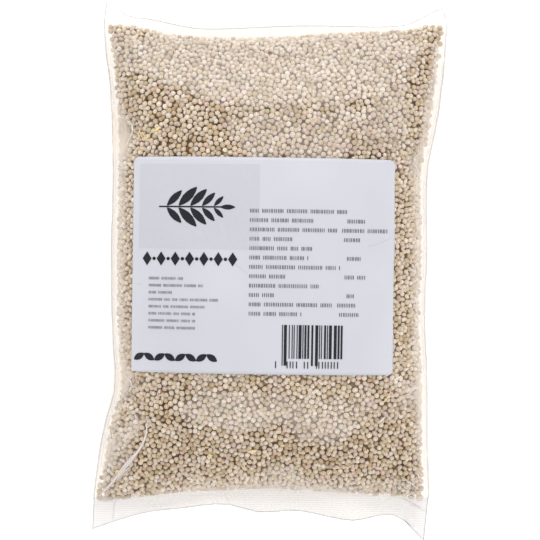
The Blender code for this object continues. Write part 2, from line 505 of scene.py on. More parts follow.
def settled(points, surface):
    """The points pushed apart along the surface, within its edges, and the normal at each."""
    normals = np.zeros_like(points)
    for _ in range(SETTLE_ROUNDS):
        seen = points * SEEN_FLAT
        tree = near_tree(seen)
        moved = points.copy()
        for i, point in enumerate(seen):
            for near, j, distance in tree.find_range(point, SETTLE_REACH):
                if j != i:
                    push = SETTLE_PUSH * (SETTLE_REACH - distance) / max(distance, MERGE)
                    moved[i] += push * (point - np.array(near))
        for i, point in enumerate(held_in(moved)):
            spot, normal, _, _ = surface.find_nearest(point)
            points[i] = spot
            normals[i] = normal
    return points, normals


def one_layer(points, upward):
    """The points without those on the back where the films are close."""
    apart = np.array([films_apart(x, y) for x, y, _ in points])
    return points[upward | (apart > ONE_LAYER)]


def fits(points):
    """True for each point that is far enough from the welds and from the bag's edge for a seed."""
    least, most = side_room(points)
    across = np.minimum(points[:, 0] - least, most - points[:, 0])
    return (past_weld(points) < -END_MARGIN + SLACK) & (across > -SLACK)


def hidden(point):
    """True if the label covers a place and some way round it."""
    for dx in (-HIDDEN_MARGIN, HIDDEN_MARGIN):
        for dy in (-HIDDEN_MARGIN, HIDDEN_MARGIN):
            above = label_tree.ray_cast(point + Vector((dx, dy, 0)), (0, 0, 1))
            if above[0] is None:
                return False
    return True


def seen_places(points):
    """The points where a seed fits and isn't hidden by the label."""
    points = points[fits(points)]
    return points[[not (p[2] > bag_high.z / 2 and hidden(Vector(p))) for p in points]]


def brought_up(points, normals, surface):
    """Brings each point where the films are close up to the front of the bed."""
    for i, (x, y, _) in enumerate(points):
        if films_apart(x, y) < ONE_LAYER:
            spot, normal, _, _ = surface.ray_cast((x, y, 1), (0, 0, -1))
            points[i] = spot
            normals[i] = normal
    return points, normals


CANDIDATES = 90000
drawn, upward, bed_area = draw_points(bed, CANDIDATES)
drawn = seen_places(thinned(one_layer(drawn, upward), SEED_SPACING))
places, facings = settled(drawn, tree_of(bed))
kept = fits(places)
places, facings = brought_up(places[kept], facings[kept], tree_of(bed))
print(len(places), "seeds, on", round(bed_area * 1e4), "square cm of bed")

# %% [markdown]
# ## The second layer
#
# A hole between three or four seeds shows the top of a seed that lies under them. Laying a whole
# second layer would double the triangles, and nearly all of it would be hidden. So more points are
# drawn, only those that are well away from every seed are kept, and these lie deeper.

# %% Fill the holes between the seeds
HOLE_REACH = 0.00122  # a hole's middle is at least this far from the middle of any seed
HOLE_SPACING = 0.0014
HOLE_DEPTH = 0.00062
HOLE_LOWEST = 0.006  # the underside, which lies on the table, has one layer


def hole_places(points, surface):
    """Points between the seeds, and the surface's normal at each."""
    tree = near_tree(points)
    more, upward, _ = draw_points(bed, CANDIDATES)
    wide = np.array([p[2] > HOLE_LOWEST and tree.find(p)[2] > HOLE_REACH for p in more])
    more = seen_places(thinned(one_layer(more[wide], upward[wide]), HOLE_SPACING))
    turned = np.array([surface.find_nearest(p)[1] for p in more])
    return brought_up(more, turned, surface)


holes, hole_facings = hole_places(places, tree_of(bed))
holes = holes - hole_facings * HOLE_DEPTH
places = np.concatenate([places, holes])
facings = np.concatenate([facings, hole_facings])
print(len(holes), "seeds in the second layer,", len(places), "in all")

# %% [markdown]
# ## How the seeds lie
#
# Against the film most seeds lie flat, with their round face to the window, and a few stand on
# edge. Each gets its own turn, tilt, depth and size: no larger than its nearest neighbours leave
# room for. The seeds differ in colour too. Most are cream, others ivory, straw or honey, and here
# and there one is pinkish or green. Each colour is one mesh, because one mesh of them all would be
# too heavy, and a seed's own tone and the ring on it are numbers that the material reads. The ring
# also carries painted shade: the groove's darker tone is partly painted shade, and each seed's widest
# edge and underside are painted dark brown for the shade that the seeds cast on one another.

# %% Turn and size the seeds
FLAT_TILT = math.radians(16)
EDGE_SHARE = 0.07
EDGE_TILT = (math.radians(30), math.radians(70))
DEPTH_SPREAD = 0.00040
SIZE_RANGE = (0.84, 1.22)
SIZE_CHANCE, NARROWEST = (0.93, 1.07), 0.9  # chance in the size, and how oval a seed can be
SNUG = 0.86  # seeds that touch are pressed into each other by this much
UPWARD = 1.6  # how far a seed on a slope turns its face up, as seeds rest on the ones below
FLATTEST = 0.6  # seeds wedged between the films lie flatter, as small ones do


def room_for(points):
    """Half the mean distance from each point to its three nearest neighbours."""
    seen = points * SEEN_FLAT
    tree = near_tree(seen)
    return np.array([np.mean([d for _, _, d in tree.find_n(p, 4)[1:]]) / 2 for p in seen])


def seed_matrices(points, normals):
    """For each seed a 4 by 4 matrix that turns, sizes and places it."""
    sizes = np.clip(room_for(points) / SNUG / SEED_RADIUS, *SIZE_RANGE)
    sizes[len(points) - len(holes) :] = 1.0
    sizes *= chance.uniform(*SIZE_CHANCE, len(points))
    tilts = np.abs(chance.normal(0, FLAT_TILT, len(points)))
    on_edge = chance.random(len(points)) < EDGE_SHARE
    tilts[on_edge] = chance.uniform(*EDGE_TILT, on_edge.sum())
    depths = chance.random(len(points)) ** 2 * DEPTH_SPREAD
    pressed = np.clip([films_apart(x, y) / ONE_LAYER for x, y, _ in points], FLATTEST, 1)
    made = np.empty((len(points), 4, 4))
    for i, (point, normal) in enumerate(zip(points, normals)):
        facing = Vector(normal)
        if facing.z > 0:
            facing = (facing + Vector((0, 0, UPWARD))).normalized()
        lean = Matrix.Rotation(tilts[i], 4, "X")
        spin = Matrix.Rotation(chance.uniform(0, math.tau), 4, "Z")
        roll = Matrix.Rotation(chance.uniform(0, math.tau), 4, "Z")
        narrow = sizes[i] * chance.uniform(NARROWEST, 1)
        squash = Matrix.Diagonal((sizes[i], narrow, sizes[i] * pressed[i], 1))
        upright = facing.to_track_quat("Z", "Y").to_matrix().to_4x4()
        place = Matrix.Translation(Vector(point) - Vector(normal) * depths[i])
        made[i] = np.array(place @ upright @ roll @ lean @ spin @ squash)
    return made


seed_places = seed_matrices(places, facings)
seed_sizes = np.linalg.norm(seed_places[:, :3, 0], axis=1)
print("seed sizes", seed_sizes.min().round(2), "to", seed_sizes.max().round(2), "of the mould")


# %% Join many copies of one mould
def strewn(name, mould, matrices):
    """One mesh that holds a copy of the mould at each matrix, with a tone for each copy."""
    shape = points_of(mould)
    corners = np.array([p.vertices[:] for p in mould.data.polygons])
    moved = np.einsum("nij,vj->nvi", matrices[:, :3, :3], shape) + matrices[:, None, :3, 3]
    starts = np.arange(len(matrices))[:, None, None] * len(shape)
    faces = (corners[None] + starts).reshape(-1, corners.shape[1])
    mesh = bpy.data.meshes.new(name)
    mesh.vertices.add(moved.shape[0] * moved.shape[1])
    mesh.loops.add(faces.size)
    mesh.polygons.add(len(faces))
    mesh.vertices.foreach_set("co", moved.astype(np.float32).ravel())
    mesh.loops.foreach_set("vertex_index", faces.astype(np.int32).ravel())
    first_loops = np.arange(0, faces.size, faces.shape[1], dtype=np.int32)
    mesh.polygons.foreach_set("loop_start", first_loops)
    mesh.update(calc_edges=True)
    mesh.validate()
    mesh.shade_smooth()
    set_values(mesh, "tone", np.repeat(chance.random(len(matrices)), len(shape)))
    return show(name, mesh)


# %% Sow the seeds
seed_shape = points_of(seed)
seed_reach = np.linalg.norm(seed_shape[:, :2], axis=1) / SEED_RADIUS
GROOVE = 0.55  # where the groove runs, as a share of the seed's radius
TABLE_CLEARANCE = 0.00015  # the lowest seeds are pressed level by the table under the film
GROOVE_TONE, TONE_RISE = 0.55, 1.6  # the tone in the groove, and how fast it gets paler beside it
# Painted shade: the groove is darkened part way towards the dark brown, and the widest edge and the
# underside, where the seeds shade one another, get the dark brown itself.
ring_and_painted_shade_of_one = np.clip(GROOVE_TONE + TONE_RISE * np.abs(seed_reach - GROOVE), 0, 1)
ring_and_painted_shade_of_one[seed_shape[:, 2] < MERGE] = 0.0
# Each kind: its share, its own pale colour, and a dark brown that paints shade on the widest edge and
# the underside, and in part in the groove.
SEED_KINDS = {
    "ivory": (0.20, "#f5ebdd", "#866038"),
    "cream": (0.20, "#eedfca", "#7b552e"),
    "oat": (0.19, "#e7d7be", "#734d27"),
    "straw": (0.18, "#dfcbac", "#6c4722"),
    "honey": (0.14, "#d4bb96", "#633f1c"),
    "rose": (0.085, "#e6cec0", "#784b30"),
    "sprout": (0.005, "#cfcba3", "#6d6538"),
}


def seed_finish(kind, pale, painted_shade):
    """Raw quinoa, saponin washed off: waxy, half matt, paler on the germ and the middle; the darker
    groove is partly painted shade, and the dark brown widest edge and underside are painted shade.
    """
    made, tree, surface = new_material(f"quinoa seed coat, {kind}")
    ring = add_node(tree, "Attribute", {"attribute_name": "ring"}).outputs["Fac"]
    tone = add_node(tree, "Attribute", {"attribute_name": "tone"}).outputs["Fac"]
    shade = add_node(
        tree, "Mix", {"data_type": "RGBA"}, {6: linear(painted_shade), 7: linear(pale)}, {0: ring}
    )
    dim = add_node(tree, "MapRange", None, {"To Min": 0.86, "To Max": 1.06}, {"Value": tone})
    toned = add_node(
        tree, "VectorMath", {"operation": "SCALE"}, None, {0: shade.outputs[2], "Scale": dim}
    )
    coat = add_node(
        tree, "BsdfPrincipled", None,
        {"Base Color": linear(pale), "Roughness": 0.5, "IOR": 1.45}, {"Base Color": toned},
    )
    tree.links.new(coat.outputs["BSDF"], surface)
    return made


shares = np.array([kind[0] for kind in SEED_KINDS.values()])
picks = chance.choice(len(shares), len(seed_places), p=shares / shares.sum())
seed_pieces = []
for number, (kind, (_, pale, painted_shade)) in enumerate(SEED_KINDS.items()):
    mine = seed_places[picks == number]
    sown = strewn(f"seeds_{kind}", seed, mine)
    rested = points_of(sown)
    rested[:, 2] = rested[:, 2].clip(TABLE_CLEARANCE)
    set_points(sown, rested)
    set_values(sown.data, "ring", np.tile(ring_and_painted_shade_of_one, len(mine)))
    sown.data.materials.append(seed_finish(kind, pale, painted_shade))
    seed_pieces.append(sown)
    print(sown.name, len(mine), "seeds,", len(sown.data.polygons), "triangles")

# %% [markdown]
# ## The core
#
# What shows between the seeds is more seeds, deep in shadow. A core with bumps as wide as seeds,
# in a dark brown, gives that for few triangles. Its bumps are real relief, because flat paint
# between the seeds would catch light where a real gap has none.

# %% Finish the core
CORE_BUMP = 0.0003
apply_modifier(core, "SUBSURF", levels=2, render_levels=2)
core_points, core_normals = points_of(core), normals_of(core)
cells = np.array([noise.voronoi(Vector(p) / SEED_SPACING)[0][0] for p in core_points])
set_points(core, core_points - core_normals * (CORE_BUMP * cells.clip(0, 1))[:, None])

# Seeds in deep shade: brown, dull, with darker and lighter seeds among them.
shade_brown, _, _ = two_toned(
    "quinoa in the shade of the heap", "TexVoronoi", SEED_SPACING, ("#a47d50", "#422b16"),
    {"Base Color": linear("#80603c"), "Roughness": 0.9, "Specular IOR Level": 0.1},
)
core.data.materials.append(shade_brown)
print("core", len(core.data.polygons), "faces")

# %% [markdown]
# ## The film
#
# The film is polypropylene, some 0.06 mm thick, pulled tight over the heap. It is seen by what it
# reflects: a veil over the seeds where it faces a lamp, lines where it is creased, and whitish
# welds. Glass with refraction would do that slowly and with dark edges. A film this thin bends no
# light, so a mix of a clear and a glossy surface by the angle of view is as true and far cleaner.
#
# Its mesh is the bag's own, rounded by subdivision, with the sharp rim held by creased edges. Then
# the vertices are lifted by a few tenths of a millimetre where the film floats over the seeds.

# %% Round the film
RIM_HEIGHT = 0.0009  # a face of the rim is lower than this
RIM_STEEPEST = 4 * RIM_HEIGHT  # and its edges rise by less than this
UPRIGHT, ABOUT_UPRIGHT = 0.5, 0.6  # and its normal points up by less than this


def on_rim(face):
    """True for a face of the narrow upright strip that joins the two films at the rim."""
    rises = [abs(e.verts[0].co.z - e.verts[1].co.z) for e in face.edges]
    narrow = min(e.calc_length() for e in face.edges) < RIM_HEIGHT
    return narrow and abs(face.normal.z) < UPRIGHT and max(rises) < RIM_STEEPEST


def hold_rim(piece):
    """Creases the edges of the rim, so that subdivision leaves them sharp."""
    edit(piece)
    pick(piece, "EDGE", lambda edge: any(on_rim(face) for face in edge.link_faces))
    bpy.ops.transform.edge_crease(value=1.0)
    bpy.ops.transform.vert_crease(value=1.0)
    done()
    set_values(piece.data, "rim", np.array([float(v.select) for v in piece.data.vertices]))


WELD_LINE = 0.0003  # how near to a welded line a vertex counts as on it
set_values(film.data, "flange", (past_weld(points_of(film)) > -WELD_LINE).astype(float))
hold_rim(film)
apply_modifier(film, "SUBSURF", levels=2, render_levels=2)
weld = values_of(film, "flange")

# %% [markdown]
# ## Where the film floats
#
# Film that touches the seeds looks clear, and film that floats over them looks hazy, so one map
# gives both: how high the film floats, and how milky it is. That milk is partly painted
# reflection: it stands in for some of the veil of lamp light that the floating film reflects, on
# top of the film's own glossy reflection. The map is a soft noise with patches added where the bag
# shows haze, such as the slope under the top seam and the pockets at the sides, and with clear
# patches taken away. A texture of noise alone would put them anywhere.

# %% Map the floating film
# Each patch: middle x and y in mm, half its width and height in mm, its turn in degrees, amount.
PATCHES = (
    (4, 78, 64, 17, -1, 0.74),  # the slope under the top seam
    (12, 50, 38, 8, 0, 0.46),  # above the label
    (16, 60, 13, 5, 0, 0.30),
    (44, 57, 8, 7, 0, 0.34),
    (-11, -52, 21, 8, 0, 0.58),  # below the label
    (20, -55, 15, 9, 0, 0.52),
    (-57, -75, 6, 12, -12, 0.55),  # down the left side
    (-54, -58, 7, 7, 0, 0.40),
    (14, -82.5, 46, 3.0, 1, 0.30),  # along the bottom seam
    (53, -47, 5, 7, 0, 0.42),
    (-49, 55, 36, 16.5, -27, -1.30),  # clear, under the fold across the top left corner
    (56, 68, 4.5, 15, -8, -0.75),
    (47, 77, 3.5, 5, 0, -0.35),
    (34, 64, 8, 5, 25, -0.50),
    (-34, -71, 22, 9, 0, -0.40),
    (41, -67, 19, 9, 0, -0.35),
    (49.5, 4, 4, 32, 0, -0.60),  # clear, to the right of the label
)
# Empty pockets, where the film is folded with nothing behind it, and strips of slack film.
POCKETS = (
    (-56.5, 52, 3.6, 10.5, 10, 1.0),
    (-55.5, -42, 3.2, 6.0, -12, 0.9),
    (56.5, 40, 2.6, 6.5, 0, 0.7),
    (-54.0, -61.5, 8.5, 2.6, 42, 0.28),
    (-61.0, -76.0, 2.5, 12.0, -12, 0.35),
    (54.5, -46.0, 3.6, 6.0, 0, 0.25),
    (14.0, -82.9, 42.0, 1.6, -1, 0.20),
    (60.6, 66.0, 2.2, 17.0, -11, 0.40),
    (-60.0, 58.0, 1.4, 20.0, 4, 0.40),
    (57.0, -52.0, 2.0, 14.0, 0, 0.42),
)
HAZE_FROM, HAZE_TO = 0.30, 0.80  # the map's values at which the haze starts and is full
PATCH_SOFTNESS, POCKET_SOFTNESS = 0.20, 0.42
FLOAT_MEAN = 0.32
FLOAT_NOISE = ((0.55, 0.017), (0.45, 0.007))  # the share and the size of two noises
SIDE_SLOPES = (0.75, 1.0)  # how far the film's normal points sideways, where the haze begins
CLEAR_EDGES = ((-59, 74, 7, 20, 6, 1.0), (58, 70, 7, 20, -8, 0.8))  # by the top corners
SIDE_HAZE, RIM_HAZE = 1.2, 2.2  # along the sides, and at the very edge
TOP_WELD_MILK, BOTTOM_WELD_MILK = 0.5, 1.05  # how milky the two welds are
CORNER_MILK, CORNER_REACH = 0.75, (0.03, 0.06)  # more of it from here out to the bottom corners


def patch_sum(points, patches, softness=PATCH_SOFTNESS):
    """The patches' amounts at each point, each fading out over its rim."""
    total = np.zeros(len(points))
    for x, y, wide, high, turn, amount in patches:
        across = points[:, 0] / MM - x
        along = points[:, 1] / MM - y
        c, s = math.cos(math.radians(turn)), math.sin(math.radians(turn))
        reach = np.hypot((across * c + along * s) / wide, (along * c - across * s) / high)
        total += amount * (1 - smoothstep(1 - softness, 1 + softness, reach))
    return total


film_points, film_normals = points_of(film), normals_of(film)
front = (film_normals[:, 2] > 0).astype(float)
floating = np.full(len(film_points), FLOAT_MEAN)
for share, size in FLOAT_NOISE:
    floating += share * np.array([noise.noise(Vector(p) / size) for p in film_points])
floating += front * patch_sum(film_points, PATCHES)
pocket = front * patch_sum(film_points, POCKETS, POCKET_SOFTNESS).clip(0, 1)
# Painted reflection, in part: the milk that the haze map sets, along with the haze along the steep
# sides and the rim, stands partly for the veil of lamp light that the film reflects there, and partly
# for the real haze of slack, crinkled film.
haze_and_painted_veil = smoothstep(HAZE_FROM, HAZE_TO, floating) * (1 - weld)
side_slope = smoothstep(*SIDE_SLOPES, np.abs(film_normals[:, 0]))
rim = values_of(film, "rim")
edge_haze_and_veil = (1 - weld) * np.maximum(SIDE_HAZE * side_slope, RIM_HAZE * smoothstep(0.0, 0.9, rim))
edge_haze_and_veil *= 1 - front * patch_sum(film_points, CLEAR_EDGES).clip(0, 1)
set_values(film.data, "haze_and_painted_veil", np.maximum(haze_and_painted_veil, edge_haze_and_veil))
set_values(film.data, "pocket", pocket)
bottom_milk = BOTTOM_WELD_MILK + CORNER_MILK * smoothstep(*CORNER_REACH, np.abs(film_points[:, 0]))
set_values(film.data, "weld", weld * np.where(film_points[:, 1] > 0, TOP_WELD_MILK, bottom_milk))
print("hazy share of the film", haze_and_painted_veil.mean().round(2))

# %% Lift the film off the seeds
FLOAT_HEIGHT = 0.00045
SIDE_LIFT, SIDE_LIFT_SLOPES = 0.0005, (0.3, 0.9)
LABEL_CLEARANCE = 0.004  # the film lies down before it reaches the label
TABLE_REACH = 0.004  # and before it reaches the table
THIN_LIFT = 0.00095  # beside the welds and the edges, where seeds are wedged between the films
THIN_GAPS = (0.003, 0.008)  # the distances between the films over which that lift fades
OPENING = 0.0012  # how far from a weld the films have parted for the seeds
lift = FLOAT_HEIGHT * floating.clip(0, 1)
lift += SIDE_LIFT * smoothstep(*SIDE_LIFT_SLOPES, np.abs(film_normals[:, 0]))
x, y = film_points[:, 0], film_points[:, 1]
across = np.minimum(x - label_low.x, label_high.x - x)
under_label = np.minimum(across, np.minimum(y - label_low.y, label_high.y - y))
lift *= 1 - smoothstep(-LABEL_CLEARANCE, 0.0, under_label) * front
lift *= smoothstep(0.0, TABLE_REACH, film_points[:, 2])
lift *= 1 - weld
wedge = np.clip(-past_weld(film_points) / OPENING, 0, 1) * np.clip(1 - rim, 0, 1)
wedge = wedge**0.5 * (1 - smoothstep(*THIN_GAPS, film_gaps(film)))
lift = np.maximum(lift, THIN_LIFT * wedge)
lifted = film_points + film_normals * lift[:, None]
lifted[:, 2] = lifted[:, 2].clip(0.0, None)
set_points(film, lifted)
print("film", len(film.data.polygons), "faces")


# %% The film's finish
FILM_MIRROR = 0.045  # both faces of the film together, looked at straight
MILK = {"weld": 0.19, "haze_and_painted_veil": 0.14, "pocket": 0.50}  # how much of the light each scatters
CRINKLE_SIZE = 0.006  # soft waves in tight film
DIMPLE_SIZE = 0.0021  # the film's give over each seed
RIB_PITCH = 0.0009  # the ribs that the sealing jaws press into a weld


def film_finish():
    """Clear cast polypropylene: glossy, colourless, a little milky where it is welded, with hazy milk
    that is partly painted reflection.
    """
    made, tree, surface = new_material("clear polypropylene film")
    where = add_node(tree, "TexCoord").outputs["Object"]
    weld_share, haze_and_veil_share, pocket_share = (
        add_node(tree, "Attribute", {"attribute_name": name}).outputs["Fac"] for name in MILK
    )
    crinkle = add_node(
        tree, "TexNoise", None, {"Scale": 1 / CRINKLE_SIZE, "Detail": 3.0}, {"Vector": where}
    )
    soft = add_node(
        tree, "Bump", None, {"Strength": 0.25, "Distance": 0.0005}, {"Height": crinkle}
    )
    dimples = add_node(
        tree, "TexVoronoi", {"feature": "SMOOTH_F1"},
        {"Scale": 1 / DIMPLE_SIZE, "Smoothness": 0.6}, {"Vector": where},
    )
    fine = add_node(
        tree, "Bump", {"invert": True}, {"Strength": 0.12, "Distance": 0.0003},
        {"Height": dimples, "Normal": soft},
    )
    slant = add_node(tree, "LayerWeight", None, {"Blend": 0.5}, {"Normal": fine}).outputs["Facing"]
    steep = add_node(tree, "Math", {"operation": "POWER"}, {1: 5.0}, {0: slant})
    mirror = add_node(
        tree, "MapRange", None, {"To Min": FILM_MIRROR, "To Max": 1.0}, {"Value": steep}
    )
    rough = add_node(
        tree, "MapRange", None, {"To Min": 0.26, "To Max": 0.55}, {"Value": weld_share}
    )
    clear = add_node(tree, "BsdfTransparent", None, {"Color": linear("#fdfcfa")})
    gloss = add_node(
        tree, "BsdfGlossy", None, {"Color": linear("#fffaf2")}, {"Normal": fine, "Roughness": rough}
    )
    skin = add_node(tree, "MixShader", None, None, {0: mirror, 1: clear, 2: gloss})
    folded = add_node(
        tree, "Mix", {"data_type": "RGBA"},
        {6: linear("#faf3ee"), 7: linear("#ede0d1")}, {0: pocket_share},
    )
    cloud = add_node(
        tree, "Mix", {"data_type": "RGBA"},
        {7: linear("#d6d4d8")}, {0: weld_share, 6: folded.outputs[2]},
    )
    milk_and_painted_reflection = add_node(
        tree, "BsdfDiffuse", None, {"Color": linear("#faf3ee")}, {"Color": cloud.outputs[2]}
    )
    ribs = add_node(
        tree, "TexWave", {"bands_direction": "Y"},
        {"Scale": math.tau / 20 / RIB_PITCH, "Distortion": 0.6}, {"Vector": where},
    ).outputs["Fac"]
    rib_depth = add_node(tree, "MapRange", None, {"To Min": 0.9, "To Max": 1.1}, {"Value": ribs})
    ribbed = add_node(tree, "Math", {"operation": "MULTIPLY"}, None, {0: weld_share, 1: rib_depth})
    links = {}
    for share, amount in zip((ribbed, haze_and_veil_share, pocket_share), MILK.values()):
        links[0] = share
        milk_and_reflection_amount = add_node(
            tree, "Math", {"operation": "MULTIPLY_ADD"}, {1: amount, 2: 0.0}, links
        )
        links[2] = milk_and_reflection_amount
    whole = add_node(tree, "MixShader", None, None, {0: milk_and_reflection_amount, 1: skin, 2: milk_and_painted_reflection})
    tree.links.new(whole.outputs["Shader"], surface)
    return made


film.data.materials.append(film_finish())

# %% [markdown]
# ## The cut edge
#
# Clear film is hardly seen against white, but its cut edge is: light runs inside the film and
# leaves at the edge, so the edge shows as a fine grey line. The narrow strip of faces at the rim is
# copied off the film and thickened. A line painted by the angle of view would be too wide.

# %% The cut edge of the film
EDGE_THICKNESS = 0.0003
FULLY = 0.999  # the rim attribute on the rim itself, and it fades off it


def cut_edge():
    """The strip of faces round the film's rim, thickened to a ribbon."""
    ribbon = show("film_cut_edge", film.data.copy())
    ribbon.data.materials.clear()
    rim = values_of(ribbon, "rim") > FULLY

    def off_rim(face):
        return abs(face.normal.z) >= ABOUT_UPRIGHT or not all(rim[v.index] for v in face.verts)

    edit(ribbon)
    pick(ribbon, "FACE", off_rim)
    bpy.ops.mesh.delete(type="FACE")
    done()
    apply_modifier(ribbon, "SOLIDIFY", thickness=EDGE_THICKNESS, offset=0.0)
    return ribbon


def edge_finish():
    """The cut edge of clear film: a faint cool grey, mostly seen through, fainter at the sides."""
    made, tree, surface = new_material("cut edge of polypropylene film")
    clear = add_node(tree, "BsdfTransparent", None, {"Color": linear("#ffffff")})
    grey_edge = add_node(tree, "BsdfDiffuse", None, {"Color": linear("#8f9599")})
    welded = add_node(tree, "Attribute", {"attribute_name": "flange"}).outputs["Fac"]
    share = add_node(tree, "MapRange", None, {"To Min": 0.15, "To Max": 0.36}, {"Value": welded})
    whole = add_node(tree, "MixShader", None, None, {0: share, 1: clear, 2: grey_edge})
    tree.links.new(whole.outputs["Shader"], surface)
    return made


edge_line = cut_edge()
edge_line.data.materials.append(edge_finish())
print("cut edge", len(edge_line.data.polygons), "faces")

# %% [markdown]
# ## Pleats in the film
#
# Spare film folds into thin pleats that stand up and catch the light as pale lines: a long one
# across the lower left, thin ones round the pockets at the sides, and short ones in the seams. Their
# paleness is partly painted highlight, a whitish diffuse share in their finish, and a few short
# ridges are painted glints only. They are too narrow for the film's own mesh, whose faces are over a
# millimetre wide. So each is a low ridge of its own that follows a smooth path on the film and runs
# out to nothing at both ends.

# %% Pleats
PLEAT_STEPS = 28
PLEAT_SECTION = ((-1.0, -0.15), (-0.4, 0.5), (0.1, 1.0), (0.45, 0.45), (1.0, -0.15))
PLEAT_TIP, PLEAT_FULLNESS = 0.06, 0.6  # its height at its ends, and how soon it is at full height
CORNER_CUTS = 3
# Each pleat: its width and height, then the points of its path, all in mm.
PLEATS = (
    (1.3, 0.60, ((-45.6, -55.4), (-46.3, -63.6), (-53.1, -72.9), (-62.0, -83.0), (-65.0, -85.8))),
    (1.0, 0.50, ((-47.2, -65.2), (-52.2, -70.6), (-56.9, -76.3), (-60.6, -81.9), (-62.2, -83.0))),
    (0.7, 0.40, ((-51.6, -73.4), (-55.4, -76.0), (-58.2, -79.9))),
    (0.6, 0.40, ((-57.2, 58.4), (-53.0, 56.0), (-50.6, 53.0), (-53.4, 47.5), (-56.0, 42.4))),
    (0.5, 0.30, ((-56.8, -38.3), (-52.6, -40.8), (-51.4, -43.4), (-53.6, -46.4), (-56.4, -49.0))),
    (0.5, 0.30, ((-57.4, -41.0), (-54.8, -43.4), (-56.8, -47.0))),
    (0.5, 0.30, ((57.2, 44.4), (54.2, 42.6), (53.6, 40.2), (56.8, 36.0))),
    # A painted glint line: a thin ridge in the pleat finish, laid where the film shows a glint.
    (0.5, 0.25, ((44.1, -64.7), (45.6, -66.6), (46.8, -69.4))),
    (0.6, 0.30, ((49.9, -78.2), (53.6, -80.9), (56.8, -83.6))),
    (0.9, 0.35, ((47.5, -85.9), (53.0, -88.3), (58.8, -91.4))),
    (0.7, 0.25, ((-58.4, -87.0), (-59.4, -91.0), (-59.9, -95.6))),
    (0.7, 0.25, ((-17.5, -84.6), (-16.6, -87.2), (-15.8, -89.4))),
    # These two are painted glints: short ridges in the pleat finish, laid where the film shows bright
    # glints.
    (1.2, 0.40, ((46.0, -41.1), (47.4, -40.3), (49.0, -39.4))),
    (1.2, 0.40, ((40.8, -56.5), (41.8, -55.6), (43.0, -54.7))),
)


def smooth_path(corners, steps):
    """An even, smooth path: the corners are cut off a few times over."""
    path = np.array(corners)
    for _ in range(CORNER_CUTS):
        a, b = path[:-1], path[1:]
        cut = np.stack([0.75 * a + 0.25 * b, 0.25 * a + 0.75 * b], 1).reshape(-1, 2)
        path = np.concatenate([path[:1], cut, path[-1:]])
    reach = np.append(0, np.cumsum(np.linalg.norm(np.diff(path, axis=0), axis=1)))
    even = np.linspace(0, reach[-1], steps)
    return np.stack([np.interp(even, reach, path[:, k]) for k in (0, 1)], 1)


def add_pleat(mesh, surface, width, height, corners):
    """Adds one closed ridge to the mesh, lying on the surface along the path."""
    path = smooth_path(corners, PLEAT_STEPS) * MM
    rings = []
    for step, (x, y) in enumerate(path):
        spot, normal, _, _ = surface.ray_cast((x, y, 1), (0, 0, -1))
        ahead = path[min(step + 1, PLEAT_STEPS - 1)] - path[max(step - 1, 0)]
        across = normal.cross(Vector((*ahead, 0))).normalized()
        arch = math.sin(math.pi * (step + 0.5) / PLEAT_STEPS)
        fade = max(PLEAT_TIP, arch**PLEAT_FULLNESS) * MM
        rings.append([
            mesh.verts.new(spot + across * (u * width / 2 * fade) + normal * (v * height * fade))
            for u, v in PLEAT_SECTION
        ])
    count = len(PLEAT_SECTION)
    for a, b in zip(rings[:-1], rings[1:]):
        for k in range(count):
            mesh.faces.new((a[k], a[(k + 1) % count], b[(k + 1) % count], b[k]))
    mesh.faces.new(rings[0])
    mesh.faces.new(rings[-1])


def pleat_finish():
    """Doubled film seen edge on: whiter than flat film, partly by painted highlight in its diffuse
    share, and still half clear.
    """
    made, tree, surface = new_material("folded polypropylene film")
    clear = add_node(tree, "BsdfTransparent", None, {"Color": linear("#fdfcfa")})
    gloss = add_node(tree, "BsdfGlossy", None, {"Color": linear("#ffffff"), "Roughness": 0.25})
    milk_and_painted_reflection = add_node(tree, "BsdfDiffuse", None, {"Color": linear("#faf1ec")})
    pale = add_node(tree, "MixShader", None, {0: 0.25}, {1: milk_and_painted_reflection, 2: gloss})
    whole = add_node(tree, "MixShader", None, {0: 0.56}, {1: clear, 2: pale})
    tree.links.new(whole.outputs["Shader"], surface)
    return made


def raise_pleats(name, surface, lines):
    """One piece that holds a ridge for each line."""
    ridges = bmesh.new()
    for width, height, corners in lines:
        add_pleat(ridges, surface, width, height, corners)
    bmesh.ops.recalc_face_normals(ridges, faces=ridges.faces)
    piece = show(name, bpy.data.meshes.new(name))
    ridges.to_mesh(piece.data)
    ridges.free()
    piece.data.shade_smooth()
    print(name, len(lines), "ridges,", len(piece.data.polygons), "faces")
    return piece


film_tree = tree_of(film)
pleats = raise_pleats("film_pleats", film_tree, PLEATS)
pleats.data.materials.append(pleat_finish())

# %% [markdown]
# ## Bits of husk and straw
#
# A few flakes of husk and ends of stalk are left among the seeds after cleaning, and they lie flat
# against the film. Both are modelled once at true size: the flake is a pointed disc, curled along
# its length, and the stalk is a thin rod with a slight bend. A box bent by a modifier would look as
# good from far off, but a flake's outline is what shows.

# %% Model the flake and the stalk
FLAKE_LENGTH, FLAKE_WIDTH, FLAKE_THICKNESS, FLAKE_CURL = 0.0032, 0.0013, 0.00010, 0.00035
STALK_LENGTH, STALK_RADIUS, STALK_BEND = 0.0050, 0.00016, 0.0004
FLAKE_PINCH, STALK_TAPER = 0.6, 0.3  # how much narrower they get towards their ends


